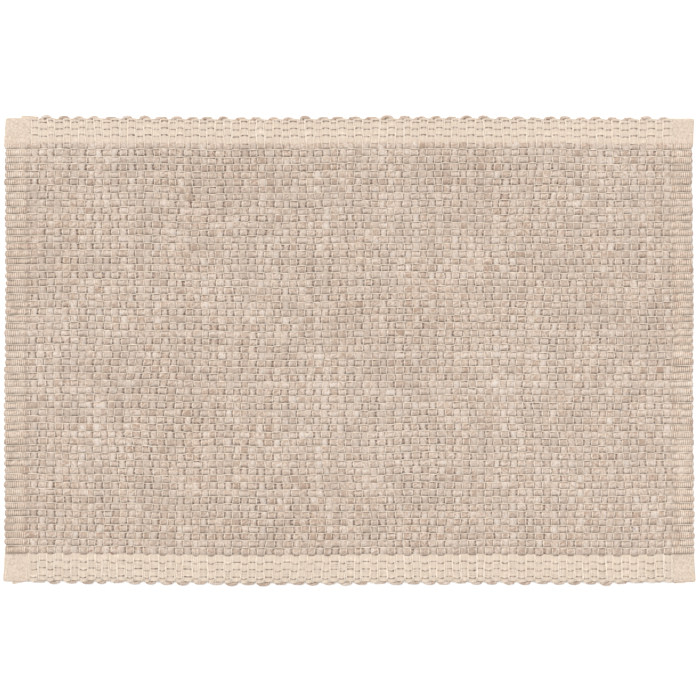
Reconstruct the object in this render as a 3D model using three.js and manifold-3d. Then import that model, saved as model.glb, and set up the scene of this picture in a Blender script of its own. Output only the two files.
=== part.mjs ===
// A rectangular woven placemat lying flat: one cloth, turned under at its two short ends.
// Thick yarn crosses thick yarn in the middle. The short ends are hems whose rows show as ribs,
// the long edges are selvedges of fine thread with the thick yarn looping out of them, and the
// four corners, where fine thread crosses fine thread, are thin and plain.
// Millimetres: X runs along the rows, Y along the columns, Z up from the table.

import * as THREE from 'three';
import { mergeVertices } from 'three/addons/utils/BufferGeometryUtils.js';
import Module from 'manifold-3d';

// Size of the cloth and its weave.
const matLength = 480;
const matWidth = 323;
const rowCount = 57;
const columnCount = 79;
const columnsPerLoop = 2;
const leftHemWidth = 17.9;
const rightHemWidth = 15.4;
const topSelvedgeWidth = 17;
const bottomSelvedgeWidth = 19.8;

// Thickness of each stretch.
const bodyThickness = 4;
const hemThickness = 4.8;
const selvedgeThickness = 3.3;
const cornerThickness = 1.8;

// A hem's ribs, one for each row. The shares run along a rib from one valley towards the next.
const ribDepth = 1;
const ribReach = 1.3;
const ribUnevenness = 0.35;
const valleyShares = [1, 0.2, 0, 0.2];
const rimRound = 1.6;
const hemSlope = 3;

// A selvedge's grooves, measured inward from the edge, and the flanks that sink into them.
const topGrooves = [2.6, 7.3, 12.2];
const bottomGrooves = [4, 9.3, 14.5];
const grooveDepth = 0.7;
const grooveFlank = 0.9;
const selvedgeSteps = 8;

// A yarn loop's outline: distance along the edge in loop pitches, and share of its reach.
const loopProfile = [
  { along: -0.31, share: 0 },
  { along: -0.19, share: 0.8 },
  { along: 0, share: 1 },
  { along: 0.19, share: 0.8 },
  { along: 0.31, share: 0 },
];
const loopReach = 2.6;
const loopUnevenness = 0.7;

// The turned-under layer peeps out past three corners: where it starts, how long it is, how far
// it reaches at each end, and whether it is at the top edge (1) or the bottom edge (-1).
const tongues = [
  { start: -229, length: 12, startReach: 1.9, endReach: 0.9, side: 1 },
  { start: -234, length: 15, startReach: 2, endReach: -1, side: -1 },
  { start: 226, length: 8, startReach: 0.9, endReach: 0.9, side: -1 },
];

// How the cloth lies: a little wider towards the bottom edge, with edges that wander.
const bottomSpread = 0.0024;
const bottomBow = 0.9;
const endSway = 0.3;
const endSwayLength = 26;
const sideSway = 0.35;
const sideSwayLength = 41;

// How far one stretch runs on into the next, and how far an upper layer stays inside a lower one.
const lap = 1.5;
const inset = 0.4;
const cornerInset = 0.9;
const cornerRound = 1.2;

const halfLength = matLength / 2;
const halfWidth = matWidth / 2;
const bodyLeft = -halfLength + leftHemWidth;
const bodyRight = halfLength - rightHemWidth;
const bodyBottom = -halfWidth + bottomSelvedgeWidth;
const bodyTop = halfWidth - topSelvedgeWidth;
const columnPitch = (bodyRight - bodyLeft) / columnCount;
const loopPitch = columnPitch * columnsPerLoop;
const loopCount = Math.floor(columnCount / columnsPerLoop);

// A value between -1 and 1 for the index-th rib or loop, so that no two neighbours are alike.
function uneven(index, phase) {
  return 0.6 * Math.sin(2.4 * index + phase) + 0.4 * Math.sin(5.1 * index + 2 * phase);
}

// Where a point of the straight, even cloth comes to lie on the table.
function lie(x, y) {
  const spread = 1 - (bottomSpread * y) / halfWidth;
  const bow = (bottomBow * Math.cos((Math.PI * x) / matLength) * (halfWidth - y)) / matWidth;
  return {
    x: x * spread + endSway * Math.sin(y / endSwayLength),
    y: y - bow + sideSway * Math.sin(x / sideSwayLength),
  };
}

// Draws an outline out to a depth, in steps, and lays each of its points in its place.
function drawnOut({ outline, depth, steps = 1, place = (point) => point }) {
  const shape = new THREE.Shape(outline.map(([x, y]) => new THREE.Vector2(x, y)));
  const stretch = new THREE.ExtrudeGeometry(shape, { depth, steps, bevelEnabled: false });
  stretch.deleteAttribute('normal');
  stretch.deleteAttribute('uv');
  const merged = mergeVertices(stretch);
  const position = merged.getAttribute('position');
  const point = new THREE.Vector3();
  for (let i = 0; i < position.count; i += 1) {
    const placed = place(point.fromBufferAttribute(position, i));
    const laid = lie(placed.x, placed.y);
    position.setXYZ(i, laid.x, laid.y, placed.z);
  }
  return merged;
}

// The rows: the flat body and its two hems, drawn out down the cloth from the top row.
function rowsWithHems() {
  const outline = [
    [-halfLength + rimRound / 2, 0],
    [-halfLength, hemThickness / 2],
    [-halfLength + rimRound, hemThickness],
    [bodyLeft - hemSlope, hemThickness],
    [bodyLeft, bodyThickness],
    [bodyRight, bodyThickness],
    [bodyRight + hemSlope, hemThickness],
    [halfLength - rimRound, hemThickness],
    [halfLength, hemThickness / 2],
    [halfLength - rimRound / 2, 0],
  ];
  const depth = bodyTop - bodyBottom;
  const steps = rowCount * valleyShares.length;
  const place = ({ x, y: up, z: down }) => {
    const step = Math.round((down / depth) * steps);
    const row = Math.floor(step / valleyShares.length);
    const valley = valleyShares[step % valleyShares.length];
    const side = Math.sign(x);
    const atRim = Math.abs(x) >= halfLength - rimRound ? 1 : 0;
    const onRib = up === hemThickness ? 1 : 0;
    const short = ribUnevenness * (1 + uneven(row, side)) * (1 - valley);
    const drawnIn = atRim * (ribReach * valley + short);
    return new THREE.Vector3(x - side * drawnIn, bodyTop - down, up - onRib * ribDepth * valley);
  };
  return drawnOut({ outline, depth, steps, place });
}

// One long edge as a thin plate: its two plain corners, and the yarn loops between them.
function loopedEdge(side) {
  const edge = side * halfWidth;
  const innerEdge = side > 0 ? bodyTop - lap : bodyBottom + lap;
  const endX = halfLength - cornerInset;
  const outline = [
    [-endX, innerEdge],
    [-endX, edge - side * cornerRound],
    [-endX + cornerRound, edge],
  ];
  const firstColumn = side > 0 ? 1 : 0;
  for (let loop = 0; loop < loopCount; loop += 1) {
    const middle = bodyLeft + (firstColumn + loop * columnsPerLoop + 1) * columnPitch;
    const reach = loopReach + loopUnevenness * uneven(loop, side);
    for (const { along, share } of loopProfile) {
      outline.push([middle + along * loopPitch, edge + side * share * reach]);
    }
  }
  outline.push([endX - cornerRound, edge], [endX, edge - side * cornerRound], [endX, innerEdge]);
  return drawnOut({ outline, depth: cornerThickness });
}

// A selvedge's flat ribs of fine thread, standing on the thin plate.
function selvedgeRibs(side) {
  const width = side > 0 ? topSelvedgeWidth : bottomSelvedgeWidth;
  const grooves = side > 0 ? topGrooves : bottomGrooves;
  const profile = [
    [inset, cornerThickness / 2],
    [inset, selvedgeThickness - grooveDepth],
    [inset + grooveFlank, selvedgeThickness],
  ];
  for (const groove of grooves) {
    profile.push([groove - grooveFlank, selvedgeThickness]);
    profile.push([groove, selvedgeThickness - grooveDepth]);
    profile.push([groove + grooveFlank, selvedgeThickness]);
  }
  profile.push([width + lap, selvedgeThickness], [width + lap, cornerThickness / 2]);
  const outline = profile.map(([inward, up]) => [side * (halfWidth - inward), up]);
  const place = ({ x: y, y: up, z: along }) => new THREE.Vector3(bodyLeft + along, y, up);
  return drawnOut({ outline, depth: bodyRight - bodyLeft, steps: selvedgeSteps, place });
}

// The turned-under layer where it shows past an edge.
function tongue({ start, length, startReach, endReach, side }) {
  const end = start + length;
  const outline = [
    [start, side * (halfWidth - lap)],
    [end, side * (halfWidth - lap)],
    [end, side * (halfWidth + endReach)],
    [start, side * (halfWidth + startReach)],
  ];
  return drawnOut({ outline, depth: cornerThickness / 2 });
}

const wasm = await Module();
wasm.setup();

function solidOf(geometry) {
  const vertProperties = Float32Array.from(geometry.getAttribute('position').array);
  const triVerts = Uint32Array.from(geometry.getIndex().array);
  return new wasm.Manifold(new wasm.Mesh({ numProp: 3, vertProperties, triVerts }));
}

// A solid as one geometry, with its origin under the middle of its box.
function geometryOf(solid) {
  const mesh = solid.getMesh();
  const geometry = new THREE.BufferGeometry();
  geometry.setAttribute('position', new THREE.BufferAttribute(mesh.vertProperties, mesh.numProp));
  geometry.setIndex(new THREE.BufferAttribute(mesh.triVerts, 1));
  geometry.computeBoundingBox();
  const middle = geometry.boundingBox.getCenter(new THREE.Vector3());
  geometry.translate(-middle.x, -middle.y, -geometry.boundingBox.min.z);
  geometry.computeVertexNormals();
  return geometry;
}

const stretches = [
  rowsWithHems(),
  loopedEdge(1),
  loopedEdge(-1),
  selvedgeRibs(1),
  selvedgeRibs(-1),
  ...tongues.map(tongue),
];
const joined = stretches.map(solidOf).reduce((whole, stretch) => whole.add(stretch));

const greigeCotton = new THREE.MeshStandardMaterial({
  color: 0xd0bda9,
  roughness: 0.95,
  metalness: 0,
});

const cloth = new THREE.Mesh(geometryOf(joined), greigeCotton);
cloth.name = 'placemat_cloth';

const group = new THREE.Group();
group.add(cloth);

export default group;
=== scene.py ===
import math
import bmesh
import bpy
import numpy as np
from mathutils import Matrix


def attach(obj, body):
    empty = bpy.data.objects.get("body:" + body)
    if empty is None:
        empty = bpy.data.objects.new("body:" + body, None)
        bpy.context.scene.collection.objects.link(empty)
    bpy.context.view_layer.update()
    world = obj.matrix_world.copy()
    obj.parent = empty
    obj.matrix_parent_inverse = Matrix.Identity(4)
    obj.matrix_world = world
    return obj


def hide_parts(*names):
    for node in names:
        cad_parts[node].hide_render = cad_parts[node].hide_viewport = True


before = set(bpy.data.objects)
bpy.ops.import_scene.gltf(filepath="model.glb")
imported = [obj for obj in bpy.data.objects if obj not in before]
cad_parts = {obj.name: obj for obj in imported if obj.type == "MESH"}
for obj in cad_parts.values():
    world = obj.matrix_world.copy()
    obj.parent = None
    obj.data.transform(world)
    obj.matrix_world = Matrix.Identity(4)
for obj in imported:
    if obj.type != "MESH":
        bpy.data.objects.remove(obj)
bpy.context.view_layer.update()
print("frame loaded")

# A woven placemat lying flat, built yarn by yarn. Metres: X along the rows, Y along the columns.
mm = 0.001

# The cloth, as its solid has it
cloth = {
    "length": 480 * mm,
    "width": 323 * mm,
    "rows": 57,
    "columns": 79,
    "leftHem": 17.9 * mm,
    "rightHem": 15.4 * mm,
    "topSelvedge": 17 * mm,
    "bottomSelvedge": 19.8 * mm,
    "middleHeight": 2 * mm,
    "hemUpperHeight": 3.4 * mm,
    "hemLowerHeight": 1.25 * mm,
    "hemMiddle": 2.6 * mm,
    "selvedgeHeight": 1.6 * mm,
    "turnedUnder": 16 * mm,  # length of each hem's hidden layer
}
halfLength = cloth["length"] / 2
halfWidth = cloth["width"] / 2
bodyLeft = -halfLength + cloth["leftHem"]
bodyRight = halfLength - cloth["rightHem"]
bodyBottom = -halfWidth + cloth["bottomSelvedge"]
bodyTop = halfWidth - cloth["topSelvedge"]
columnPitch = (bodyRight - bodyLeft) / cloth["columns"]
rowPitch = (bodyTop - bodyBottom) / cloth["rows"]

# How the cloth lies, how its ends are uneven and how its weave wanders
lay = {
    "bottomSpread": 0.0024,
    "bottomBow": 0.9 * mm,
    "endSway": 0.3 * mm,
    "endSwayLength": 26 * mm,
    "sideSway": 0.35 * mm,
    "sideSwayLength": 41 * mm,
    "ribUnevenness": 0.35 * mm,
    "loopReach": 2.6 * mm,
    "loopUnevenness": 0.7 * mm,
    "columnWander": 0.7 * mm,  # slow drift of the whole weave
    "rowWander": 0.25 * mm,
    "wanderLength": 95 * mm,
    "columnJostle": 0.4 * mm,  # quick drift of one yarn against the next
    "rowJostle": 0.14 * mm,
    "jostleAcross": 15 * mm,
    "jostleAlong": 55 * mm,
    "calmEdge": 28 * mm,  # the drift fades out this near the outline
}


def hemDepth(side):
    return cloth["leftHem"] if side < 0 else cloth["rightHem"]


def selvedgeDepth(side):
    return cloth["topSelvedge"] if side > 0 else cloth["bottomSelvedge"]


def uneven(index, phase):
    return 0.6 * np.sin(2.4 * index + phase) + 0.4 * np.sin(5.1 * index + 2 * phase)


def lie(x, y):
    spread = 1 - lay["bottomSpread"] * y / halfWidth
    bow = lay["bottomBow"] * np.cos(np.pi * x / cloth["length"]) * (halfWidth - y) / cloth["width"]
    laidX = x * spread + lay["endSway"] * np.sin(y / lay["endSwayLength"])
    laidY = y - bow + lay["sideSway"] * np.sin(x / lay["sideSwayLength"])
    return laidX, laidY


def smoothField(x, y, waveX, waveY, seed):
    # a soft random surface with an even spread of directions, about -2 to 2
    dice = np.random.default_rng(seed)
    total = np.zeros(np.broadcast(x, y).shape)
    waves = 9
    for turn in range(waves):
        angle = np.pi * (turn + dice.uniform(0, 1)) / waves
        pace = 2 * np.pi * dice.uniform(0.6, 1.5)
        total += np.sin(pace * (x * np.cos(angle) / waveX + y * np.sin(angle) / waveY)
                        + dice.uniform(0, 2 * np.pi))
    return total / np.sqrt(waves / 2)


def yarnNoise(count, along, wave, seed):
    # a soft random line for each of count yarns, about -2 to 2
    dice = np.random.default_rng(seed)
    total = np.zeros((count, along.shape[-1]))
    waves = 7
    for _ in range(waves):
        pace = 2 * np.pi * dice.uniform(0.5, 2.2, (count, 1)) / wave
        total += np.sin(pace * along + dice.uniform(0, 2 * np.pi, (count, 1)))
    return total / np.sqrt(waves / 2)


def jitter(shape, size, seed):
    return np.random.default_rng(seed).normal(0, size, shape).clip(-2 * size, 2 * size)


def smoothStep(share):
    share = np.clip(share, 0, 1)
    return share * share * (3 - 2 * share)


def rowEnds(side):
    # how far each row's rounded end stops short of the cloth's end
    return lay["ribUnevenness"] * (1 + uneven(np.arange(cloth["rows"]), side))


def loopMiddles(side):
    # where the yarn turns over at the top (1) or bottom (-1) edge, and how far it stands out
    count = cloth["columns"] // 2
    loops = np.arange(count)
    first = 1 if side > 0 else 0
    middles = bodyLeft + (first + 2 * loops + 1) * columnPitch
    reach = lay["loopReach"] + lay["loopUnevenness"] * uneven(loops, side)
    return middles, reach


def clothCentre():
    # the middle of the laid cloth's box, which the solid has its origin under
    rowYs = bodyTop - (np.arange(cloth["rows"]) + 0.5) * rowPitch
    xs = []
    ys = []
    for side in (-1, 1):
        xs.append(lie(side * (halfLength - rowEnds(side)), rowYs)[0])
        middles, reach = loopMiddles(side)
        ys.append(lie(middles, side * (halfWidth + reach))[1])
    xs = np.concatenate(xs)
    ys = np.concatenate(ys)
    return (xs.min() + xs.max()) / 2, (ys.min() + ys.max()) / 2


centreX, centreY = clothCentre()


def laid(x, y):
    # where a point of the even weave comes to lie, with its drift
    quietX = smoothStep((halfLength - np.abs(x)) / lay["calmEdge"])
    quietY = smoothStep((halfWidth - np.abs(y)) / lay["calmEdge"])
    slow = lay["wanderLength"]
    across = lay["jostleAcross"]
    along = lay["jostleAlong"]
    driftX = (lay["columnWander"] * smoothField(x, y, slow, slow, 11)
              + lay["columnJostle"] * smoothField(x, y, across, along, 12))
    driftY = (lay["rowWander"] * smoothField(x, y, slow, slow, 13)
              + lay["rowJostle"] * smoothField(x, y, along, across, 14))
    laidX, laidY = lie(x + quietX * driftX, y + quietY * driftY)
    return laidX - centreX, laidY - centreY


def laidPoints(x, y, z):
    return np.stack(np.broadcast_arrays(*laid(x, y), z), axis=-1)


# Materials

def newMaterial(name, roughness, sheen):
    material = bpy.data.materials.new(name)
    material.use_nodes = True
    nodes = material.node_tree.nodes
    shader = nodes["Principled BSDF"]
    shader.inputs["Roughness"].default_value = roughness
    shader.inputs["Specular IOR Level"].default_value = 0.15
    shader.inputs["Sheen Weight"].default_value = sheen
    shader.inputs["Sheen Roughness"].default_value = 0.6
    shader.inputs["Sheen Tint"].default_value = (1, 0.96, 0.92, 1)
    return material, nodes, material.node_tree.links, shader


def addNode(nodes, kind, **settings):
    node = nodes.new(kind)
    for key, value in settings.items():
        setattr(node, key, value)
    return node


def feed(links, socket, value):
    # a socket takes another node's output or a plain value
    if isinstance(value, bpy.types.NodeSocket):
        links.new(value, socket)
    else:
        socket.default_value = value


def addRamp(nodes, stops):
    ramp = nodes.new("ShaderNodeValToRGB")
    elements = ramp.color_ramp.elements
    while len(elements) < len(stops):
        elements.new(0.5)
    for element, (place, colour) in zip(elements, stops):
        element.position = place
        element.color = (*colour, 1)
    return ramp


def addNoise(nodes, links, vector, scale, detail):
    noise = nodes.new("ShaderNodeTexNoise")
    noise.inputs["Scale"].default_value = scale
    noise.inputs["Detail"].default_value = detail
    noise.inputs["Roughness"].default_value = 0.6
    links.new(vector, noise.inputs["Vector"])
    return noise.outputs["Fac"]


def addSum(nodes, links, first, factor, second):
    # first times factor, plus second
    node = addNode(nodes, "ShaderNodeMath", operation="MULTIPLY_ADD")
    for socket, value in zip(node.inputs, (first, factor, second)):
        feed(links, socket, value)
    return node.outputs[0]


def addBump(nodes, links, height, strength, distance, shader):
    bump = nodes.new("ShaderNodeBump")
    bump.inputs["Strength"].default_value = strength
    bump.inputs["Distance"].default_value = distance
    links.new(height, bump.inputs["Height"])
    links.new(bump.outputs["Normal"], shader.inputs["Normal"])


def mixColours(nodes, links, factor, first, second):
    mix = addNode(nodes, "ShaderNodeMix", data_type="RGBA")
    for place, value in ((0, factor), (6, first), (7, second)):  # the sockets for colours
        feed(links, mix.inputs[place], value)
    return mix.outputs[2]


def colourOf(red, green, blue):
    # a colour read from a screen, as light
    return tuple(((c / 255 + 0.055) / 1.055) ** 2.4 for c in (red, green, blue))


yarnLook = {
    # painted shade between and under the yarns; the rest is the yarn's own colour
    "paintedShadeColour": colourOf(126, 74, 40),
    "dull": colourOf(176, 150, 132),
    "plain": colourOf(207, 185, 167),
    "pale": colourOf(225, 213, 203),
    "grey": colourOf(180, 164, 151),
    "greyShare": 0.6,
    "patchScale": 60,
    "fibreScale": 1000,
    "fibreLength": 5,  # times as long as wide
    "fibreSlope": 0.45,
    "fibreShare": 1.8,
    "mottleScale": 620,
    "mottleShare": 1.6,
    "driftScale": 12,
    "driftShare": 0.22,
    "bump": 0.8,
    "bumpDepth": 0.4 * mm,
    "roughness": 0.92,
    "sheen": 0.3,
}
threadLook = {
    # painted shade in the gaps between the threads
    "paintedShadeColour": colourOf(104, 62, 34),
    "dull": colourOf(222, 206, 188),
    "plain": colourOf(246, 229, 210),
    "pale": colourOf(251, 241, 228),
    "grey": colourOf(230, 212, 194),
    "greyShare": 0.4,
    "patchScale": 70,
    "fibreScale": 1500,
    "fibreLength": 2,
    "fibreSlope": 0.9,
    "fibreShare": 0.8,
    "mottleScale": 420,
    "mottleShare": 0.7,
    "driftScale": 12,
    "driftShare": 0.2,
    "bump": 0.3,
    "bumpDepth": 0.15 * mm,
    "roughness": 0.85,
    "sheen": 0.5,
}


def makeYarnMaterial(name, look):
    material, nodes, links, shader = newMaterial(name, look["roughness"], look["sheen"])
    # twisted fibres follow the yarn, mottling stays in its place
    along = addNode(nodes, "ShaderNodeUVMap", uv_map="yarn")
    turn = addNode(nodes, "ShaderNodeMapping", vector_type="TEXTURE")
    turn.inputs["Rotation"].default_value = (0, 0, look["fibreSlope"])
    turn.inputs["Scale"].default_value = (look["fibreLength"], 1, 1)
    links.new(along.outputs["UV"], turn.inputs["Vector"])
    place = nodes.new("ShaderNodeTexCoord").outputs["Object"]
    fibres = addNoise(nodes, links, turn.outputs["Vector"], look["fibreScale"], 3)
    mottle = addNoise(nodes, links, place, look["mottleScale"], 2)
    patches = addNoise(nodes, links, place, look["patchScale"], 2)
    drift = addNoise(nodes, links, place, look["driftScale"], 0)
    tint = addNode(nodes, "ShaderNodeAttribute", attribute_name="tint").outputs["Fac"]
    tone = addSum(nodes, links, fibres, look["fibreShare"], tint)
    tone = addSum(nodes, links, mottle, look["mottleShare"], tone)
    tone = addSum(nodes, links, drift, look["driftShare"], tone)
    shares = look["fibreShare"] + look["mottleShare"] + look["driftShare"]
    tone = addSum(nodes, links, tone, 1.0, 0.5 - shares / 2)
    ramp = addRamp(nodes, [(0.1, look["dull"]), (0.5, look["plain"]), (0.95, look["pale"])])
    links.new(tone, ramp.inputs["Fac"])
    greying = addRamp(nodes, [(0.4, (0, 0, 0)), (0.75, (look["greyShare"],) * 3)])
    links.new(patches, greying.inputs["Fac"])
    colour = mixColours(nodes, links, greying.outputs["Color"], ramp.outputs["Color"],
                        (*look["grey"], 1))
    # painted shade: the colour turns toward the shade colour where the yarn lies deep between the others
    depth = addNode(nodes, "ShaderNodeAttribute", attribute_name="depth").outputs["Fac"]
    colour = mixColours(nodes, links, depth, colour, (*look["paintedShadeColour"], 1))
    links.new(colour, shader.inputs["Base Color"])
    relief = addSum(nodes, links, mottle, 0.8, fibres)
    addBump(nodes, links, relief, look["bump"], look["bumpDepth"], shader)
    return material


greigeYarn = makeYarnMaterial("greigeSlubYarn", yarnLook)
creamThread = makeYarnMaterial("creamThread", threadLook)
print("materials made")


# Yarns

def finishPiece(name, mesh, material):
    piece = bpy.data.objects.new(name, mesh)
    bpy.context.scene.collection.objects.link(piece)
    mesh.materials.append(material)
    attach(piece, "root")
    return piece


def yarnSections(centres, across, widths, heights, sides, squareness):
    # the points of every section, flattened and rounded, with one point straight up
    tangent = np.gradient(centres, axis=1)
    tangent /= np.linalg.norm(tangent, axis=2, keepdims=True)
    up = np.cross(across, tangent)
    up /= np.linalg.norm(up, axis=2, keepdims=True)
    angle = np.pi / 2 + 2 * np.pi * np.arange(sides) / sides
    ringAcross = np.sign(np.cos(angle)) * np.abs(np.cos(angle)) ** squareness
    ringUp = np.sign(np.sin(angle)) * np.abs(np.sin(angle)) ** squareness
    halfAcross = (widths / 2)[:, :, None] * ringAcross
    halfUp = (heights / 2)[:, :, None] * ringUp
    return (centres[:, :, None] + across[:, :, None] * halfAcross[..., None]
            + up[:, :, None] * halfUp[..., None])


def yarnMaps(centres, widths, sides, yarn, station, side):
    # one map runs in metres along and around, the other gives each yarn a lane of its own
    count = centres.shape[0]
    steps = np.linalg.norm(np.diff(centres, axis=1), axis=2)
    distance = np.concatenate([np.zeros((count, 1)), np.cumsum(steps, axis=1)], axis=1)
    girth = 2.4 * widths.mean()
    cornerStation = np.stack([station, station + 1, station + 1, station], axis=-1)
    cornerSide = np.stack([side, side, side + 1, side + 1], axis=-1)
    cornerYarn = np.repeat(yarn[..., None], 4, axis=-1)
    lengthwise = distance[cornerYarn, cornerStation]
    around = cornerSide / sides
    fibreMap = np.stack([lengthwise + 0.37 * cornerYarn, around * girth], axis=-1)
    whole = distance[:, -1].max()
    laneMap = np.stack([0.002 + 0.996 * lengthwise / whole,
                        (cornerYarn + 0.06 + 0.88 * around) / count], axis=-1)
    ends = (np.repeat(np.arange(count), sides) + 0.5) / count
    starts = np.stack([np.full(ends.size, 0.001), ends], axis=-1)
    finishes = np.stack([np.full(ends.size, 0.999), ends], axis=-1)
    return {
        "yarn": np.concatenate([fibreMap.reshape(-1, 2), starts, finishes]),
        "OFBake": np.concatenate([laneMap.reshape(-1, 2), starts, finishes]),
    }


def creaseUndersides(mesh, sides):
    # a three-sided thread is shaded as a rounded strip with a flat underside
    ends = np.empty(len(mesh.edges) * 2, dtype=np.int32)
    mesh.edges.foreach_get("vertices", ends)
    first, second = ends.reshape(-1, 2).T
    creased = (first % sides == second % sides) & (first % sides > 0)
    attribute = mesh.attributes.new("sharp_edge", "BOOLEAN", "EDGE")
    attribute.data.foreach_set("value", creased)


def makeYarns(name, kind, centres, across, widths, heights, tints, middle, shade=1):
    # closed tubes, one for each line of centres
    across = np.broadcast_to(np.array(across, float), centres.shape)
    widths, heights, tints, middle, shade = np.broadcast_arrays(widths, heights, tints, middle, shade)
    sides = kind["sides"]
    points = yarnSections(centres, across, widths, heights, sides, kind["squareness"])
    points[..., 2] = np.maximum(points[..., 2], 0)
    count, stations = centres.shape[:2]
    yarn, station, side = np.meshgrid(np.arange(count), np.arange(stations - 1), np.arange(sides),
                                      indexing="ij")
    nextSide = (side + 1) % sides
    here = (yarn * stations + station) * sides
    quads = np.stack([here + side, here + sides + side, here + sides + nextSide, here + nextSide],
                     axis=-1)
    rings = np.arange(count)[:, None] * stations * sides + np.arange(sides)
    lastRings = rings[:, ::-1] + (stations - 1) * sides
    corners = np.concatenate([quads.ravel(), rings.ravel(), lastRings.ravel()])
    sizes = np.concatenate([np.full(quads.size // 4, 4), np.full(2 * count, sides)])
    mesh = bpy.data.meshes.new(name)
    mesh.vertices.add(points.size // 3)
    mesh.vertices.foreach_set("co", points.astype(np.float32).ravel())
    mesh.loops.add(corners.size)
    mesh.loops.foreach_set("vertex_index", corners.astype(np.int32))
    mesh.polygons.add(sizes.size)
    mesh.polygons.foreach_set("loop_start", (np.cumsum(sizes) - sizes).astype(np.int32))
    mesh.update(calc_edges=True)
    mesh.shade_smooth()
    if sides == 3:
        creaseUndersides(mesh, sides)
    for mapName, spots in yarnMaps(centres, widths, sides, yarn, station, side).items():
        layer = mesh.uv_layers.new(name=mapName)
        layer.data.foreach_set("uv", spots.astype(np.float32).ravel())
    # painted shade: the yarn's colour darkens toward the middle of the cloth, where shade falls between
    # the yarns, and where its far face shows through a gap
    fromMiddle = points[..., 2] - middle[:, :, None]
    lift = (points[..., 2] - centres[..., 2][:, :, None]) / (heights / 2)[:, :, None]
    facing = np.sign(lift) * (np.abs(lift) > 0.75)
    exposure = np.where(facing == 0, np.abs(fromMiddle), fromMiddle * facing)
    strength = kind["paintedShade"] * shade[:, :, None]
    paintedShades = strength * np.clip(1 - exposure / kind["paintedShadeReach"], 0, 1)
    tints = np.repeat(tints[:, :, None], sides, axis=2)
    for attributeName, values in (("tint", tints), ("depth", paintedShades)):
        attribute = mesh.attributes.new(attributeName, "FLOAT", "POINT")
        attribute.data.foreach_set("value", values.astype(np.float32).ravel())
    mesh.validate()
    return finishPiece(name, mesh, kind["material"])


# How a yarn's colour and girth change along it
spinning = {
    "slowTintLength": 90 * mm,
    "quickTintLength": 13 * mm,
    "yarnsApart": 0.055,  # how much paler or darker one yarn is than the next
    "slubLength": 60 * mm,
    "lumpLength": 9 * mm,
    "knotEnds": 0.7,  # of a knot's fatness, one station away from its middle
    "heightFollows": 0.4,  # how much the height grows with the girth, and its limits
    "leastHeight": 0.9,
    "mostHeight": 1.08,
}


def yarnTints(shape, kind, seed):
    # lighter and darker stretches, and some yarns paler than others
    count, stations = shape
    along = np.arange(stations)[None, :] * kind["step"]
    whole = np.random.default_rng(seed).normal(0, spinning["yarnsApart"], (count, 1))
    slow = yarnNoise(count, along, spinning["slowTintLength"], seed + 1)
    quick = yarnNoise(count, along, spinning["quickTintLength"], seed + 2)
    return kind["tint"] + whole + kind["slowTint"] * slow + kind["quickTint"] * quick


def yarnGirth(shape, kind, seed):
    # thick and thin stretches, with a lump here and there
    count, stations = shape
    along = np.arange(stations)[None, :] * kind["step"]
    slubs = yarnNoise(count, along, spinning["slubLength"], seed)
    lumps = yarnNoise(count, along, spinning["lumpLength"], seed + 1)
    return 1 + kind["slub"] * slubs + kind["lump"] * lumps + jitter(shape, 0.5 * kind["lump"], seed + 2)


def slubKnots(shape, share, seed):
    # short fat places in the yarn, 1 at the middle of each
    knots = np.random.default_rng(seed).random(shape) < share
    ends = spinning["knotEnds"]
    return np.clip(knots + ends * np.roll(knots, 1, axis=1) + ends * np.roll(knots, -1, axis=1), 0, 1)


def spinThickYarns(name, kind, centres, across, share, squeeze, middle, seed, shade=1, wider=0, tint=0):
    # yarns with a fat knot here and there, narrower and flatter as share and squeeze say
    shape = centres.shape[:2]
    girth = yarnGirth(shape, kind, seed)
    knots = slubKnots(shape, kind["knotShare"], seed + 8)
    girth = girth + kind["knotGirth"] * knots
    follows = spinning["heightFollows"]
    growth = np.clip(1 - follows + follows * girth, spinning["leastHeight"], spinning["mostHeight"])
    tints = yarnTints(shape, kind, seed + 2) + kind["knotTint"] * knots + tint
    return makeYarns(name, kind, centres, across, kind["width"] * share * girth + wider,
                     kind["height"] * squeeze * growth, tints, middle, shade)


def spinThreads(name, kind, centres, across, middle, seed, shade=1, thinner=1):
    # fine threads and turns, whose width and height follow one girth
    shape = centres.shape[:2]
    girth = yarnGirth(shape, kind, seed)
    return makeYarns(name, kind, centres, across, kind["width"] * girth * thinner,
                     kind["height"] * girth, yarnTints(shape, kind, seed + 2), middle, shade)


weave = {
    "rise": 0.7 * mm,  # of the thick yarns over and under each other
    "unevenRise": 0.1 * mm,
    "shoulder": 0.31,  # of a pitch, from a crossing to each end of its crest
    "threadRise": 1.4 * mm,  # of the fine threads
}


def wovenStations(count):
    # two stations on each crossing and one between it and the next, in pitches
    offsets = np.array([-weave["shoulder"], weave["shoulder"], 0.5])
    places = (np.arange(count)[:, None] + offsets).ravel()
    onCrossing = np.tile([1, 1, 0], count)
    return places, onCrossing


def overUnder(firsts, seconds):
    # 1 where the first goes over the second and -1 where it goes under, at every station
    signs = np.where((firsts[:, None] + seconds[None, :]) % 2 == 0, 1.0, -1.0)
    return np.repeat(signs, 3, axis=1)


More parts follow.
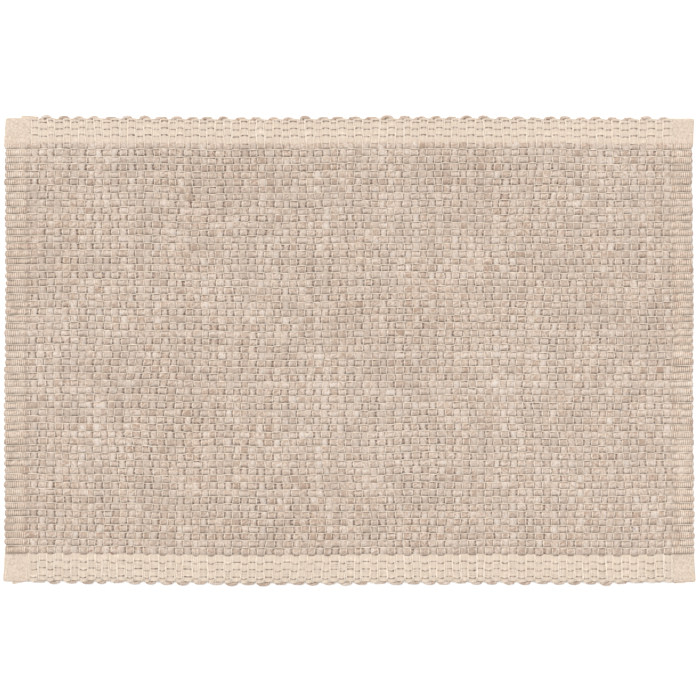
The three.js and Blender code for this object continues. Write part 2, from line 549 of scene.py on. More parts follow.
thickRows = {
    "width": 4.9 * mm,
    "height": 2.3 * mm,
    "hidden": 0.8,  # share of its width that a yarn keeps under another
    "pinch": 0.84,  # share of its height that it keeps under the fine threads
    "between": 0.78,  # share of its width there
    "unevenBetween": 0.08,
    "topTrim": 0.6 * mm,  # the first row is this much narrower beside the selvedge
    "bottomBulge": 0.6 * mm,  # the last row bulges over it where it lies on top
    "step": 1.9 * mm,  # about how far its stations are apart
    "slub": 0.06,
    "lump": 0.08,
    "knotShare": 0.012,  # of the stations, with a fat knot
    "knotGirth": 0.26,
    "knotTint": -0.3,
    "stray": 0.14 * mm,
    "tint": 0,
    "slowTint": 0.05,
    "quickTint": 0.07,
    "sides": 6,
    "squareness": 0.8,
    # painted shade between the yarns: how strong, and how far from the middle it reaches
    "paintedShade": 0.62,
    "paintedShadeReach": 0.7 * mm,
    "outermostShade": 0.15,  # the first and last row are open to the light
    "material": greigeYarn,
    # in the hems
    "hemWidth": 0.92,  # share of its width
    "hemHeight": 1.95 * mm,
    "hemTint": -0.06,
    "hemStart": 1.4 * mm,  # from the body's edge
    "hemClimb": 3.5 * mm,
    "foldStart": 3.2 * mm,  # from the cloth's end
    "hemStations": 8,
    "hemShading": 0.35 * mm,  # how far below a row's own middle its painted shade is darkest
    "foldAngles": (75, 50, 20, -5, -30, -60),
    "foldWidths": (0.98, 0.9, 0.7, 0.52, 0.62, 0.9),
    "foldPush": 0.3 * mm,  # how far the rounded ends bulge past the fold
    "foldOpen": 3 * mm,  # no painted shade nearer to the cloth's end than this
    "underStart": 3.6 * mm,
    "underEnd": 0.5 * mm,
    "underStations": 5,
}


def hemStations(side):
    # from the body outward, round the fold and back below: distances in, heights and widths
    depth = hemDepth(side)
    upper = cloth["hemUpperHeight"]
    lower = cloth["hemLowerHeight"]
    radius = (upper - lower) / 2
    reach = radius + thickRows["hemHeight"] / 2 - thickRows["foldPush"]
    top = np.linspace(depth - thickRows["hemStart"], thickRows["foldStart"], thickRows["hemStations"])
    climb = smoothStep((depth - top) / thickRows["hemClimb"])
    topHeights = cloth["middleHeight"] + (upper - cloth["middleHeight"]) * climb
    turn = np.radians(thickRows["foldAngles"])
    foldIn = reach - radius * np.cos(turn)
    foldHeights = (upper + lower) / 2 + radius * np.sin(turn)
    lastUnder = min(depth, cloth["turnedUnder"]) - thickRows["underEnd"]
    under = np.linspace(thickRows["underStart"], lastUnder, thickRows["underStations"])
    distances = np.concatenate([top, foldIn, under])
    heights = np.concatenate([topHeights, foldHeights, np.full(under.size, lower)])
    shares = np.concatenate([np.full(top.size, thickRows["hemWidth"]), thickRows["foldWidths"],
                             np.ones(under.size)])
    return distances, heights, shares


def withHems(body, hemOf):
    # a line of stations from the left hem's hidden end to the right hem's
    left = np.broadcast_to(hemOf(-1), (body.shape[0], np.shape(hemOf(-1))[-1]))
    right = np.broadcast_to(hemOf(1), (body.shape[0], np.shape(hemOf(1))[-1]))
    return np.concatenate([left[:, ::-1], body, right], axis=1)


def makeRowYarns():
    rows = np.arange(cloth["rows"])
    places, onCrossing = wovenStations(cloth["columns"])
    sign = overUnder(rows, np.arange(cloth["columns"])) * onCrossing
    bodyX = np.broadcast_to(bodyLeft + (places + 0.5) * columnPitch, sign.shape)
    hem = {side: hemStations(side) for side in (-1, 1)}
    x = withHems(bodyX, lambda side: side * (halfLength - rowEnds(side)[:, None] - hem[side][0]))
    rise = weave["rise"] + jitter(sign.shape, weave["unevenRise"], 20)
    z = withHems(cloth["middleHeight"] + rise * sign, lambda side: hem[side][1])
    between = thickRows["between"] + jitter(sign.shape, thickRows["unevenBetween"], 28)
    share = withHems(np.where(sign > 0, 1, np.where(sign < 0, thickRows["hidden"], between)),
                     lambda side: hem[side][2])
    squeeze = withHems(np.where(sign == 0, thickRows["pinch"], 1),
                       lambda side: np.full(hem[side][0].size,
                                            thickRows["hemHeight"] / thickRows["height"]))
    middle = withHems(np.full(sign.shape, cloth["middleHeight"]),
                      lambda side: hem[side][1] - thickRows["hemShading"])
    shade = withHems(np.ones(sign.shape), lambda side: hem[side][0] > thickRows["foldOpen"])
    shade[[0, -1]] *= thickRows["outermostShade"]
    # the last row bulges over the selvedge, the first is trimmed beside it
    wider = np.zeros((rows.size, 1))
    wider[-1] = thickRows["bottomBulge"]
    wider = withHems(wider * (sign > 0), lambda side: np.zeros(hem[side][0].size))
    wider[0] = -thickRows["topTrim"]
    y = (bodyTop - (rows + 0.5) * rowPitch)[:, None] + np.where(rows == 0, 0.5, -0.5)[:, None] * wider
    y = y + jitter(x.shape, thickRows["stray"], 27)
    inHem = withHems(np.zeros(sign.shape), lambda side: np.ones(hem[side][0].size))
    return spinThickYarns("rowYarns", thickRows, laidPoints(x, y, z), (0, 1, 0), share, squeeze,
                          middle, 21, shade, wider, thickRows["hemTint"] * inHem)


thickColumns = {
    **thickRows,
    "between": 0.83,
    "step": 1.7 * mm,
    "stray": 0.22 * mm,
    "tint": 0.1,
    # under the selvedges' cover threads
    "selvedgeShare": 0.84,  # of its width
    "selvedgeThickness": 2.35 * mm,
    "selvedgeStations": 7,
    "fromEdge": 1.5 * mm,
    "topStart": -0.2 * mm,  # out from the body's edge, or in where negative
    "bottomStart": 1.2 * mm,
}


def makeColumnYarns():
    columns = np.arange(cloth["columns"])
    places, onCrossing = wovenStations(cloth["rows"])
    sign = -overUnder(columns, np.arange(cloth["rows"])) * onCrossing
    bodyY = bodyTop - (places + 0.5) * rowPitch
    stations = thickColumns["selvedgeStations"]
    outermost = halfWidth - thickColumns["fromEdge"]
    topY = np.linspace(outermost, bodyTop + thickColumns["topStart"], stations)
    bottomY = np.linspace(bodyBottom - thickColumns["bottomStart"], -outermost, stations)
    y = np.concatenate([topY, bodyY, bottomY])[None, :]
    x = (bodyLeft + (columns + 0.5) * columnPitch)[:, None]
    x, y = np.broadcast_arrays(x, y)
    body = slice(stations, -stations)
    z = np.full(x.shape, cloth["selvedgeHeight"])
    rise = weave["rise"] + jitter(sign.shape, weave["unevenRise"], 30)
    z[:, body] = cloth["middleHeight"] + rise * sign
    middle = np.full(x.shape, cloth["selvedgeHeight"])
    middle[:, body] = cloth["middleHeight"]
    share = np.full(x.shape, thickColumns["selvedgeShare"])
    between = thickColumns["between"] + jitter(sign.shape, thickColumns["unevenBetween"], 38)
    share[:, body] = np.where(sign > 0, 1, np.where(sign < 0, thickColumns["hidden"], between))
    squeeze = np.full(x.shape, thickColumns["selvedgeThickness"] / thickColumns["height"])
    squeeze[:, body] = np.where(sign == 0, thickColumns["pinch"], 1)
    centres = laidPoints(x + jitter(x.shape, thickColumns["stray"], 37), y, z)
    return spinThickYarns("columnYarns", thickColumns, centres, (-1, 0, 0), share, squeeze, middle, 31)


rowYarns = makeRowYarns()
columnYarns = makeColumnYarns()
print("thick yarns woven")


# Fine threads in pairs between the thick yarns

fineRows = {
    "width": 0.7 * mm,
    "height": 0.62 * mm,
    "apart": 0.14 * mm,  # each thread of a pair from the middle of its gap
    "seat": 0.95 * mm,  # how much higher they lie where they cross the fine columns
    "step": 1.9 * mm,
    "slub": 0.06,
    "lump": 0.06,
    "stray": 0.09 * mm,
    "tint": -0.3,
    "slowTint": 0.06,
    "quickTint": 0.08,
    "sides": 3,
    "squareness": 1,
    # painted shade in the gaps: how strong, and how far it reaches
    "paintedShade": 0.3,
    "paintedShadeReach": 0.7 * mm,
    "material": creamThread,
    # in the hems, between the ribs
    "hemStart": 2.5 * mm,  # from the body's edge
    "hemFlat": 3 * mm,  # from the cloth's end
    "flatStations": 5,
    "hemEnds": (2 * mm, 1.5 * mm, 1.6 * mm),
    "hemHeights": (3.2 * mm, 3.9 * mm, 4 * mm, 4 * mm, 4 * mm, 3.8 * mm, 3 * mm, 2.2 * mm),
    "hemApart": 0.05 * mm,
    "hemThinner": 0.3,
}


def makeRowThreads():
    gaps = np.arange(1, cloth["rows"])
    threadRows = np.repeat(gaps - 0.5, 2)
    lift = np.tile([1, -1], gaps.size)
    places, onCrossing = wovenStations(cloth["columns"])
    sign = overUnder(np.repeat(gaps, 2), np.arange(cloth["columns"])) * lift[:, None] * onCrossing
    bodyX = np.broadcast_to(bodyLeft + (places + 0.5) * columnPitch, sign.shape)
    hemIn = {}
    for side in (-1, 1):
        start = hemDepth(side) - fineRows["hemStart"]
        flat = np.linspace(start, fineRows["hemFlat"], fineRows["flatStations"])
        hemIn[side] = np.concatenate([flat, fineRows["hemEnds"]])
    hemHeights = np.array(fineRows["hemHeights"])
    x = withHems(bodyX, lambda side: side * (halfLength - hemIn[side]))
    bodyZ = cloth["middleHeight"] + weave["threadRise"] * sign + fineRows["seat"] * (1 - onCrossing)
    z = withHems(bodyZ, lambda side: hemHeights)
    middle = withHems(np.full(sign.shape, cloth["middleHeight"]),
                      lambda side: np.full(hemHeights.size, cloth["hemMiddle"]))
    inHem = withHems(np.zeros(sign.shape), lambda side: np.clip(np.arange(hemHeights.size) / 3, 0, 1))
    apart = lift[:, None] * (fineRows["apart"] * (1 - inHem) + fineRows["hemApart"] * inHem)
    y = bodyTop - (threadRows + 0.5)[:, None] * rowPitch + apart
    centres = laidPoints(x, y + jitter(x.shape, fineRows["stray"], 47), z)
    return spinThreads("rowThreads", fineRows, centres, (0, 1, 0), middle, 42,
                       shade=1 - inHem, thinner=1 - fineRows["hemThinner"] * inHem)


fineColumns = {
    **fineRows,
    "width": 0.66 * mm,
    "apart": 0.32 * mm,
    "seat": 0.4 * mm,
    "step": 1.7 * mm,
    "stray": 0.19 * mm,
    "tint": 0.15,
    # painted shade, strongest where the pinholes show between the yarns
    "paintedShade": 0.9,
    "paintedShadeReach": 0.9 * mm,
    "belowLine": 0.9,  # how strong the painted shade is just below, just above and under the fine rows
    "aboveLine": 0.3,
    "underLine": 1.1,
    "turn": 0.35,  # more painted shade under every second one, less under the others
    "unevenDark": 0.3,
    "mostDark": 1.1,
    # in the selvedges, as a strip between two columns
    "selvedgeStations": 6,
    "fromEdge": 0.8 * mm,
    "fromBody": 1 * mm,
    "selvedgeHeight": 2.95 * mm,
    "cornerDrop": 0.4 * mm,  # how much lower the pairs beside the corners are
    "selvedgeApart": 0.42 * mm,
    "selvedgeShade": 0.2,
}


def makeColumnThreads():
    gaps = np.arange(0, cloth["columns"] + 1)
    threadColumns = np.repeat(gaps - 0.5, 2)
    lift = np.tile([-1, 1], gaps.size)
    places, onCrossing = wovenStations(cloth["rows"])
    sign = overUnder(np.repeat(gaps, 2), np.arange(cloth["rows"])) * lift[:, None] * onCrossing
    bodyY = bodyTop - (places + 0.5) * rowPitch
    stations = fineColumns["selvedgeStations"]
    body = slice(stations, -stations)
    outermost = halfWidth - fineColumns["fromEdge"]
    topY = np.linspace(outermost, bodyTop + fineColumns["fromBody"], stations)
    bottomY = np.linspace(bodyBottom - fineColumns["fromBody"], -outermost, stations)
    y = np.concatenate([topY, bodyY, bottomY])[None, :]
    spread = np.full(y.shape, fineColumns["selvedgeApart"])
    spread[:, body] = fineColumns["apart"]
    x = bodyLeft + (threadColumns + 0.5)[:, None] * columnPitch + lift[:, None] * spread
    x, y = np.broadcast_arrays(x, y)
    x = x + jitter(x.shape, fineColumns["stray"], 57)
    z = np.full(x.shape, fineColumns["selvedgeHeight"])
    z[[0, 1, -2, -1]] -= fineColumns["cornerDrop"]
    z[:, body] = (cloth["middleHeight"] + weave["threadRise"] * sign
                  + fineColumns["seat"] * (1 - onCrossing))
    centres = laidPoints(x, y, z)
    # painted shade on the threads that show through the pinholes just below the fine rows, more in some
    # places than in others
    pinholeShade = np.tile([fineColumns["belowLine"], fineColumns["aboveLine"], fineColumns["underLine"]],
                    cloth["rows"])
    crossings = (np.arange(pinholeShade.size) + 1) // 3
    turns = np.where((np.repeat(gaps, 2)[:, None] + crossings) % 2 == 0, 1, -1)
    dark = pinholeShade + fineColumns["turn"] * turns + jitter(sign.shape, fineColumns["unevenDark"], 58)
    shade = np.full(x.shape, fineColumns["selvedgeShade"])
    shade[:, body] = dark.clip(0, fineColumns["mostDark"])
    return spinThreads("columnThreads", fineColumns, centres, (-1, 0, 0), cloth["middleHeight"], 52,
                       shade)


# The selvedges' cover threads

coverThreads = {
    "width": 1.6 * mm,
    "height": 0.72 * mm,
    "pitch": 0.66 * mm,
    "outermost": 1.3 * mm,  # from the edge
    "topGrooves": (3.2 * mm, 7.9 * mm, 12.8 * mm),
    "bottomGrooves": (4 * mm, 9.3 * mm, 14.5 * mm),
    "grooveGap": 1.65 * mm,
    "topInnermost": -0.7 * mm,  # short of the body's edge, or past it where negative
    "bottomInnermost": 0.45 * mm,
    "stations": (-0.24, 0, 0.24, 0.5),  # of a column's pitch, the last between two columns
    "waves": (0.8, 1, 0.8, 0),  # share of the way over or under the column there
    "over": 2.8 * mm,
    "under": 0.35 * mm,
    "between": 2.35 * mm,
    "bow": 0.95 * mm,  # outward, over every second column
    "otherBow": -0.05 * mm,
    "bowShares": (0.6, 1, 0.6, 0),
    "topBow": 0.65,  # share of the bow that the top one has
    "stiffEdge": 3 * mm,  # the bow fades out toward the edge, and at the top toward the body
    "leastBow": 0.15,
    "stiffBody": 5 * mm,
    "endHeight": 1.95 * mm,
    "endReach": 0.2,  # of a column's pitch, into the corner cloth
    "step": 1.4 * mm,
    "slub": 0.05,
    "lump": 0.05,
    "tint": -0.44,
    "slowTint": 0.05,
    "quickTint": 0.08,
    "sides": 3,
    "squareness": 1,
    "shadeFrom": 2.6 * mm,  # painted shade: a thread's edges darken toward this height
    "shades": (0.6, 1, 0.6, 0.1),
    # painted shade at the edges, making fine lines between the threads
    "paintedShade": 0.7,
    "paintedShadeReach": 0.4 * mm,
    "material": creamThread,
}


def coverThreadPlaces(side):
    # distances in from the edge, in groups of even number between the grooves
    grooves = coverThreads["topGrooves"] if side > 0 else coverThreads["bottomGrooves"]
    innermost = coverThreads["topInnermost"] if side > 0 else coverThreads["bottomInnermost"]
    halfGap = coverThreads["grooveGap"] / 2
    starts = [coverThreads["outermost"]] + [groove + halfGap for groove in grooves]
    ends = [groove - halfGap for groove in grooves] + [selvedgeDepth(side) - innermost]
    groups = []
    for start, end in zip(starts, ends):
        pairs = int(round((end - start) / coverThreads["pitch"] / 2 + 0.5))
        groups.append(np.linspace(start, end, 2 * pairs))
    return np.concatenate(groups)


def makeSelvedgeThreads():
    columns = np.arange(cloth["columns"])
    places = (columns[:, None] + np.array(coverThreads["stations"])).ravel()[:-1]
    wave = np.tile(coverThreads["waves"], columns.size)[:-1]
    bows = np.where(columns % 2 == 0, coverThreads["bow"], coverThreads["otherBow"])
    bow = np.repeat(bows, 4)[:-1] * np.tile(coverThreads["bowShares"], columns.size)[:-1]
    shade = np.tile(coverThreads["shades"], columns.size)[:-1]
    # both ends of a thread run down into the corner cloth
    reach = 0.5 + coverThreads["endReach"]
    places = np.concatenate([[-reach], places, [columns[-1] + reach]])
    bow = np.pad(bow, 1)
    shade = np.pad(shade, 1)
    centres = []
    for side in (-1, 1):
        inward = coverThreadPlaces(side)
        signs = np.where((np.arange(inward.size)[:, None] + columns[None, :]) % 2 == 0, 1, -1)
        signs = np.repeat(signs, 4, axis=1)[:, :-1]
        crest = np.where(signs > 0, coverThreads["over"], coverThreads["under"])
        z = coverThreads["between"] + (crest - coverThreads["between"]) * wave
        z = np.pad(z, ((0, 0), (1, 1)), constant_values=coverThreads["endHeight"])
        x = np.broadcast_to(bodyLeft + (places + 0.5) * columnPitch, z.shape)
        freedom = np.clip(inward / coverThreads["stiffEdge"], coverThreads["leastBow"], 1)
        if side > 0:
            calm = np.clip((selvedgeDepth(side) - inward) / coverThreads["stiffBody"], 0, 1)
            freedom = coverThreads["topBow"] * freedom * calm
        y = side * (halfWidth - inward[:, None] + bow * freedom[:, None])
        centres.append(laidPoints(x, y, z))
    return spinThreads("selvedgeThreads", coverThreads, np.concatenate(centres), (0, 1, 0),
                       coverThreads["shadeFrom"], 62, shade)


# The thick yarn's turns, from the end of one column to the end of the next

loops = {
    "width": 2.4 * mm,
    "height": 2.2 * mm,
    "spread": 3.1 * mm,  # half the distance between its two legs
    "angles": (-85, -65, -43, -21, 0, 21, 43, 65, 85),
    "drawnIn": {1: 1.35 * mm, -1: 1.15 * mm},
    "sunk": 0.6 * mm,  # how far inside the edge a turn starts
    "legs": 1.6,  # length of its legs, in half pitches
    "shift": 0.7 * mm,  # along the edge, unevenly
    "lean": 0.5 * mm,
    "cornerShares": (0.35, 0.6, 0.85),  # of its reach, nearest the lower right corner
    "middle": 1.45 * mm,
    "step": 1.6 * mm,
    "slub": 0.1,
    "lump": 0.03,
    "tint": -0.02,
    "slowTint": 0.08,
    "quickTint": 0.08,
    "sides": 8,
    "squareness": 0.9,
    "paintedShade": 0,
    "paintedShadeReach": 1 * mm,
    "material": greigeYarn,
}


def makeYarnLoops():
    turns = np.radians(loops["angles"])
    lines = []
    for side in (-1, 1):
        middles, reach = loopMiddles(side)
        if side < 0:
            reach[-3:] *= loops["cornerShares"][::-1]
        middles = middles + loops["shift"] * uneven(np.arange(middles.size), 5 * side)
        apex = (reach - loops["drawnIn"][side] - loops["width"] / 2)[:, None]
        lean = loops["lean"] * uneven(np.arange(middles.size), 3 * side)[:, None]
        x = loops["spread"] * np.sin(turns) + lean * np.cos(turns)
        y = (apex + loops["sunk"]) * np.cos(turns) - loops["sunk"]
        legs = np.full((middles.size, 1), columnPitch / 2)
        x = np.concatenate([-legs, x, legs], axis=1)
        y = np.concatenate([-legs * loops["legs"], y, -legs * loops["legs"]], axis=1)
        lines.append(laidPoints(middles[:, None] + x, side * (halfWidth + y), loops["middle"]))
    centres = np.concatenate(lines)
    flow = np.gradient(centres, axis=1)
    across = np.stack([-flow[..., 1], flow[..., 0], np.zeros(flow.shape[:2])], axis=-1)
    across /= np.linalg.norm(across, axis=2, keepdims=True)
    return spinThreads("yarnLoops", loops, centres, across, loops["middle"], 72)


rowThreads = makeRowThreads()
columnThreads = makeColumnThreads()
selvedgeThreads = makeSelvedgeThreads()
yarnLoops = makeYarnLoops()
print("fine threads and selvedges woven")


# The hems' fine threads, over and under the rows

hemThreads = {
    **fineRows,
    "width": 0.5 * mm,
    "height": 0.5 * mm,
    "pitch": 0.74 * mm,
    "first": 1.7 * mm,
    "count": 19,
    "step": 1.7 * mm,
    "tint": 0,
    # painted shade between the ribs
    "paintedShade": 0.8,
    "upperHeights": (2.4 * mm, 4.38 * mm),
    "lowerHeights": (0.33 * mm, 2.3 * mm),
    "endDrop": 0.2 * mm,  # the outermost threads ride down over the rounded ends
    "endReach": 2.5 * mm,
}


def makeHemThreads(name, low, high, endDrop, seed):
    places, onCrossing = wovenStations(cloth["rows"])
    inward = hemThreads["first"] + np.arange(hemThreads["count"]) * hemThreads["pitch"]
    sign = overUnder(np.arange(inward.size), np.arange(cloth["rows"])) * onCrossing
    drop = np.where(inward < hemThreads["endReach"], endDrop, 0)[:, None]
    z = (high + low) / 2 + (high - low) / 2 * sign - drop
    y = np.broadcast_to(bodyTop - (places + 0.5) * rowPitch, z.shape)
    lines = []
    for side in (-1, 1):
        x = np.broadcast_to(side * (halfLength - inward)[:, None], z.shape)
        lines.append(laidPoints(x, y, z))
    return spinThreads(name, hemThreads, np.concatenate(lines), (-1, 0, 0), (low + high) / 2, seed)


hemUpperThreads = makeHemThreads("hemUpperThreads", *hemThreads["upperHeights"],
                                 hemThreads["endDrop"], 81)
hemLowerThreads = makeHemThreads("hemLowerThreads", *hemThreads["lowerHeights"], 0, 91)
print("hems woven")


# The four thin corners

cornerLook = {
    "dull": colourOf(194, 172, 151),
    "plain": colourOf(219, 201, 184),
    "pale": colourOf(238, 224, 210),
    "weaveScale": 360,
    "weaveShare": 0.35,
    "speckleScale": 700,
    "bump": 0.4,
    "bumpDepth": 0.15 * mm,
    "roughness": 0.9,
    "sheen": 0.15,
}


def makeCornerMaterial():
    material, nodes, links, shader = newMaterial("creamCornerCloth", cornerLook["roughness"],
                                                 cornerLook["sheen"])
    place = nodes.new("ShaderNodeTexCoord").outputs["Object"]
    waves = []
    for turn in (0, math.pi / 2):
        mapping = addNode(nodes, "ShaderNodeMapping")
        mapping.inputs["Rotation"].default_value = (0, 0, turn)
        links.new(place, mapping.inputs["Vector"])
        wave = addNode(nodes, "ShaderNodeTexWave", wave_type="BANDS", bands_direction="X")
        wave.inputs["Scale"].default_value = cornerLook["weaveScale"]
        wave.inputs["Distortion"].default_value = 1.2
        wave.inputs["Detail"].default_value = 1
        links.new(mapping.outputs["Vector"], wave.inputs["Vector"])
        waves.append(wave.outputs["Fac"])
    weaving = addSum(nodes, links, waves[0], waves[1], 0.0)
    speckle = addNoise(nodes, links, place, cornerLook["speckleScale"], 2)
    total = addSum(nodes, links, weaving, cornerLook["weaveShare"], speckle)
    ramp = addRamp(nodes, [(0.3, cornerLook["dull"]), (0.6, cornerLook["plain"]),
                           (0.95, cornerLook["pale"])])
    links.new(total, ramp.inputs["Fac"])
    links.new(ramp.outputs["Color"], shader.inputs["Base Color"])
    addBump(nodes, links, total, cornerLook["bump"], cornerLook["bumpDepth"], shader)
    return material


cornerCloth = makeCornerMaterial()

corner = {
    "thickness": 1.7 * mm,
    "underside": 0.05 * mm,
    "crown": 0.7 * mm,  # extra height where it meets the hem and the selvedge
    "crownSlope": 2.2,
    "rim": 0.62,  # share of its thickness at the very edge
    "rimSlope": 6,
    "insets": {  # from the cloth's end, beside the hem and at the tip
        (-1, 1): (-0.7 * mm, 0.1 * mm),
        (1, 1): (-0.5 * mm, -1.2 * mm),
        (-1, -1): (0.5 * mm, -0.6 * mm),
        (1, -1): (0.5 * mm, -1.2 * mm),
    },
    "round": 0.36 * mm,  # how far the tip is drawn in
    "roundSlope": 12,
    "cells": 34,
    "lap": 2.2 * mm,
    "ripple": 0.07 * mm,
    "rippleLength": 9 * mm,
}


def makeCorner(endSide, topSide):
    besideHem, atTip = corner["insets"][endSide, topSide]
    innerX = halfLength - hemDepth(endSide) - corner["lap"]
    innerY = halfWidth - selvedgeDepth(topSide) - corner["lap"]
    slab = bmesh.new()
    cells = corner["cells"]
    length = corner["rippleLength"]
    bmesh.ops.create_grid(slab, x_segments=cells, y_segments=cells, size=0.5)
    bottom = bmesh.ops.extrude_face_region(slab, geom=slab.faces[:])
    lower = {v for v in bottom["geom"] if isinstance(v, bmesh.types.BMVert)}
    for vert in slab.verts:
        acrossShare = vert.co.x + 0.5
        upShare = vert.co.y + 0.5
        outerX = halfLength - besideHem - (atTip - besideHem) * upShare
        nearTip = corner["roundSlope"] * min(acrossShare, upShare) - (corner["roundSlope"] - 1)
        pull = corner["round"] * max(0, nearTip)
        x = innerX + (outerX - innerX) * acrossShare - pull
        y = innerY + (halfWidth - innerY) * upShare - pull
        rim = min(1, corner["rimSlope"] * min(1 - acrossShare, 1 - upShare))
        rise = max(0, 1 - corner["crownSlope"] * min(acrossShare, upShare))
        ripple = corner["ripple"] * float(smoothField(x * endSide, y * topSide, length, length, 101))
        top = corner["thickness"] * (corner["rim"] + (1 - corner["rim"]) * math.sqrt(rim))
        top += corner["crown"] * rise + ripple
        laidX, laidY = laid(np.float64(x * endSide), np.float64(y * topSide))
        vert.co = (float(laidX), float(laidY), corner["underside"] if vert in lower else top)
    bmesh.ops.recalc_face_normals(slab, faces=slab.faces[:])
    return slab


def makeCorners():
    whole = bmesh.new()
    for endSide in (-1, 1):
        for topSide in (-1, 1):
            slab = makeCorner(endSide, topSide)
            part = bpy.data.meshes.new("cornerPart")
            slab.to_mesh(part)
            slab.free()
            whole.from_mesh(part)
            bpy.data.meshes.remove(part)
    mesh = bpy.data.meshes.new("plainCorners")
    whole.to_mesh(mesh)
    whole.free()
    mesh.shade_smooth()
    return finishPiece("plainCorners", mesh, cornerCloth)


plainCorners = makeCorners()

# The turned-under layer where it peeps out past three corners
tongues = {
    "thickness": 0.8 * mm,
    "hidden": 6 * mm,  # how far it runs back under the corner
    "round": 0.3 * mm,
    "places": [
        {"start": -229 * mm, "length": 12 * mm, "startReach": 1.9 * mm, "endReach": 0.9 * mm, "side": 1},
        {"start": -234 * mm, "length": 15 * mm, "startReach": 2 * mm, "endReach": -1 * mm, "side": -1},
        {"start": 226 * mm, "length": 8 * mm, "startReach": 0.9 * mm, "endReach": 0.9 * mm, "side": -1},
    ],
}


def makeTongues():
    shape = bmesh.new()
    for tongue in tongues["places"]:
        start = tongue["start"]
        end = start + tongue["length"]
        hidden = halfWidth - tongues["hidden"]
        outline = [
            (start, hidden),
            (end, hidden),
            (end, halfWidth + tongue["endReach"]),
            (start, halfWidth + tongue["startReach"]),
        ]
        verts = []
        for x, y in outline:
            laidX, laidY = laid(np.float64(x), np.float64(tongue["side"] * y))
            verts.append(shape.verts.new((float(laidX), float(laidY), corner["underside"])))
        face = shape.faces.new(verts)
        raised = bmesh.ops.extrude_face_region(shape, geom=[face])
        top = [v for v in raised["geom"] if isinstance(v, bmesh.types.BMVert)]
        bmesh.ops.translate(shape, vec=(0, 0, tongues["thickness"]), verts=top)
    bmesh.ops.bevel(shape, geom=shape.edges[:], offset=tongues["round"], offset_type="OFFSET",
                    segments=3, profile=0.5, affect="EDGES", material=-1)
    bmesh.ops.recalc_face_normals(shape, faces=shape.faces[:])
    mesh = bpy.data.meshes.new("turnedUnderTips")
    shape.to_mesh(mesh)
    shape.free()
    mesh.shade_smooth()
    return finishPiece("turnedUnderTips", mesh, cornerCloth)


turnedUnderTips = makeTongues()
print("corners made")

# A few dyed fibres spun into the yarn by chance
strayFibres = {
    "red": {
        "colour": colourOf(176, 60, 52),
        # place, length and direction, in millimetres and radians
        "spots": [(-179.6, -139.3, 2.2, 0.3), (-165, -140.7, 1.6, 2.6), (185.6, -52.4, 1.6, 0.1)],
    },
    "blue": {
        "colour": colourOf(110, 108, 176),
        "spots": [(198.1, -124, 2, 0.2), (2.6, 78.4, 1.2, 1.9), (188.5, -41.7, 1.2, 1)],
    },
    "width": 0.42 * mm,
    "flatness": 0.7,
    "taper": 1.9,
    "thinnest": 0.05,
    "bend": 0.25 * mm,
    "height": 4.5 * mm,  # above the table
    "arch": 0.5 * mm,
    "roughness": 0.7,
    "sheen": 0.3,
}


def makeStrayFibres(name, kind):
    material, _, _, shader = newMaterial(name, strayFibres["roughness"], strayFibres["sheen"])
    shader.inputs["Base Color"].default_value = (*kind["colour"], 1)
    spots = np.array(kind["spots"])
    direction = spots[:, 3:]
    reach = np.linspace(-0.5, 0.5, 7)
    along = spots[:, 2:3] * mm * reach
    x = spots[:, :1] * mm + along * np.cos(direction) - strayFibres["bend"] * reach ** 2
    y = spots[:, 1:2] * mm + along * np.sin(direction)
    z = strayFibres["height"] - 4 * strayFibres["arch"] * reach ** 2 + np.zeros(x.shape)
    across = np.stack([-np.sin(direction), np.cos(direction), np.zeros(direction.shape)], axis=-1)
    thinning = np.sqrt(np.clip(1 - (strayFibres["taper"] * reach) ** 2, strayFibres["thinnest"], 1))
    widths = strayFibres["width"] * thinning + np.zeros(x.shape)
    build = {"sides": 6, "squareness": 1, "paintedShade": 0, "paintedShadeReach": 1 * mm, "material": material}
    return makeYarns(name, build, np.stack([x, y, z], axis=-1), across, widths,
                     strayFibres["flatness"] * widths, tints=0, middle=0)


redFibres = makeStrayFibres("redFibres", strayFibres["red"])
blueFibres = makeStrayFibres("blueFibres", strayFibres["blue"])
print("stray fibres laid")

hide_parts("placemat_cloth")


# Table, light and camera

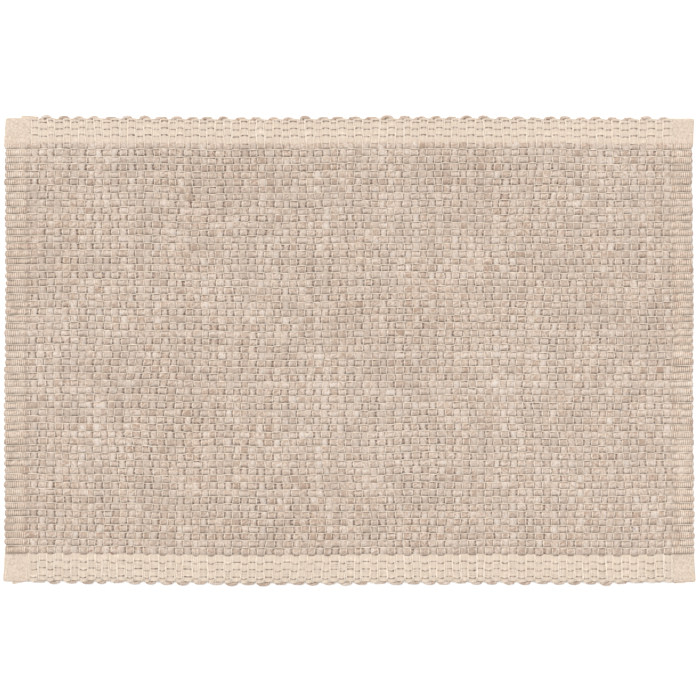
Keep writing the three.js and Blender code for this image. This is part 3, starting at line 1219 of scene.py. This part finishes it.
studio = {
    "tableSize": 20,
    "tableColour": (0.97, 0.97, 0.97),
    "tableGlow": 0.2,
    "worldStrength": 0.72,
    "keyStrength": 1.6,
    "keyTilt": (30, -14),
    "keyAngle": 30,
    "viewWidth": 487 * mm,
    "lens": 85,
    "aimX": 0.56 * mm,
    "aimY": 0.3 * mm,
    "aimHeight": 3 * mm,
}


def makeTable():
    top = bmesh.new()
    bmesh.ops.create_grid(top, x_segments=1, y_segments=1, size=studio["tableSize"])
    mesh = bpy.data.meshes.new("table")
    top.to_mesh(mesh)
    top.free()
    table = bpy.data.objects.new("table", mesh)
    bpy.context.scene.collection.objects.link(table)
    material, _, _, shader = newMaterial("paleTable", 0.8, 0)
    shader.inputs["Base Color"].default_value = (*studio["tableColour"], 1)
    shader.inputs["Emission Color"].default_value = (1, 1, 1, 1)
    shader.inputs["Emission Strength"].default_value = studio["tableGlow"]
    mesh.materials.append(material)
    return table


def makeLights():
    world = bpy.data.worlds.new("studioLight")
    world.use_nodes = True
    background = world.node_tree.nodes["Background"]
    background.inputs["Color"].default_value = (1, 1, 1, 1)
    background.inputs["Strength"].default_value = studio["worldStrength"]
    bpy.context.scene.world = world
    sun = bpy.data.lights.new("softKey", "SUN")
    sun.energy = studio["keyStrength"]
    sun.angle = math.radians(studio["keyAngle"])
    lamp = bpy.data.objects.new("softKey", sun)
    bpy.context.scene.collection.objects.link(lamp)
    tilt, lean = studio["keyTilt"]
    lamp.rotation_euler = (-math.radians(tilt), math.radians(lean), 0)


def makeCamera():
    camera = bpy.data.cameras.new("camera")
    camera.lens = studio["lens"]
    camera.sensor_width = 36
    distance = studio["viewWidth"] * studio["lens"] / camera.sensor_width
    camera.clip_start = 0.05
    camera.clip_end = 20
    holder = bpy.data.objects.new("camera", camera)
    holder.location = (studio["aimX"], studio["aimY"], studio["aimHeight"] + distance)
    bpy.context.scene.collection.objects.link(holder)
    bpy.context.scene.camera = holder


table = makeTable()
makeLights()
makeCamera()
bpy.context.scene.view_settings.view_transform = "Standard"
print("table, light and camera set")
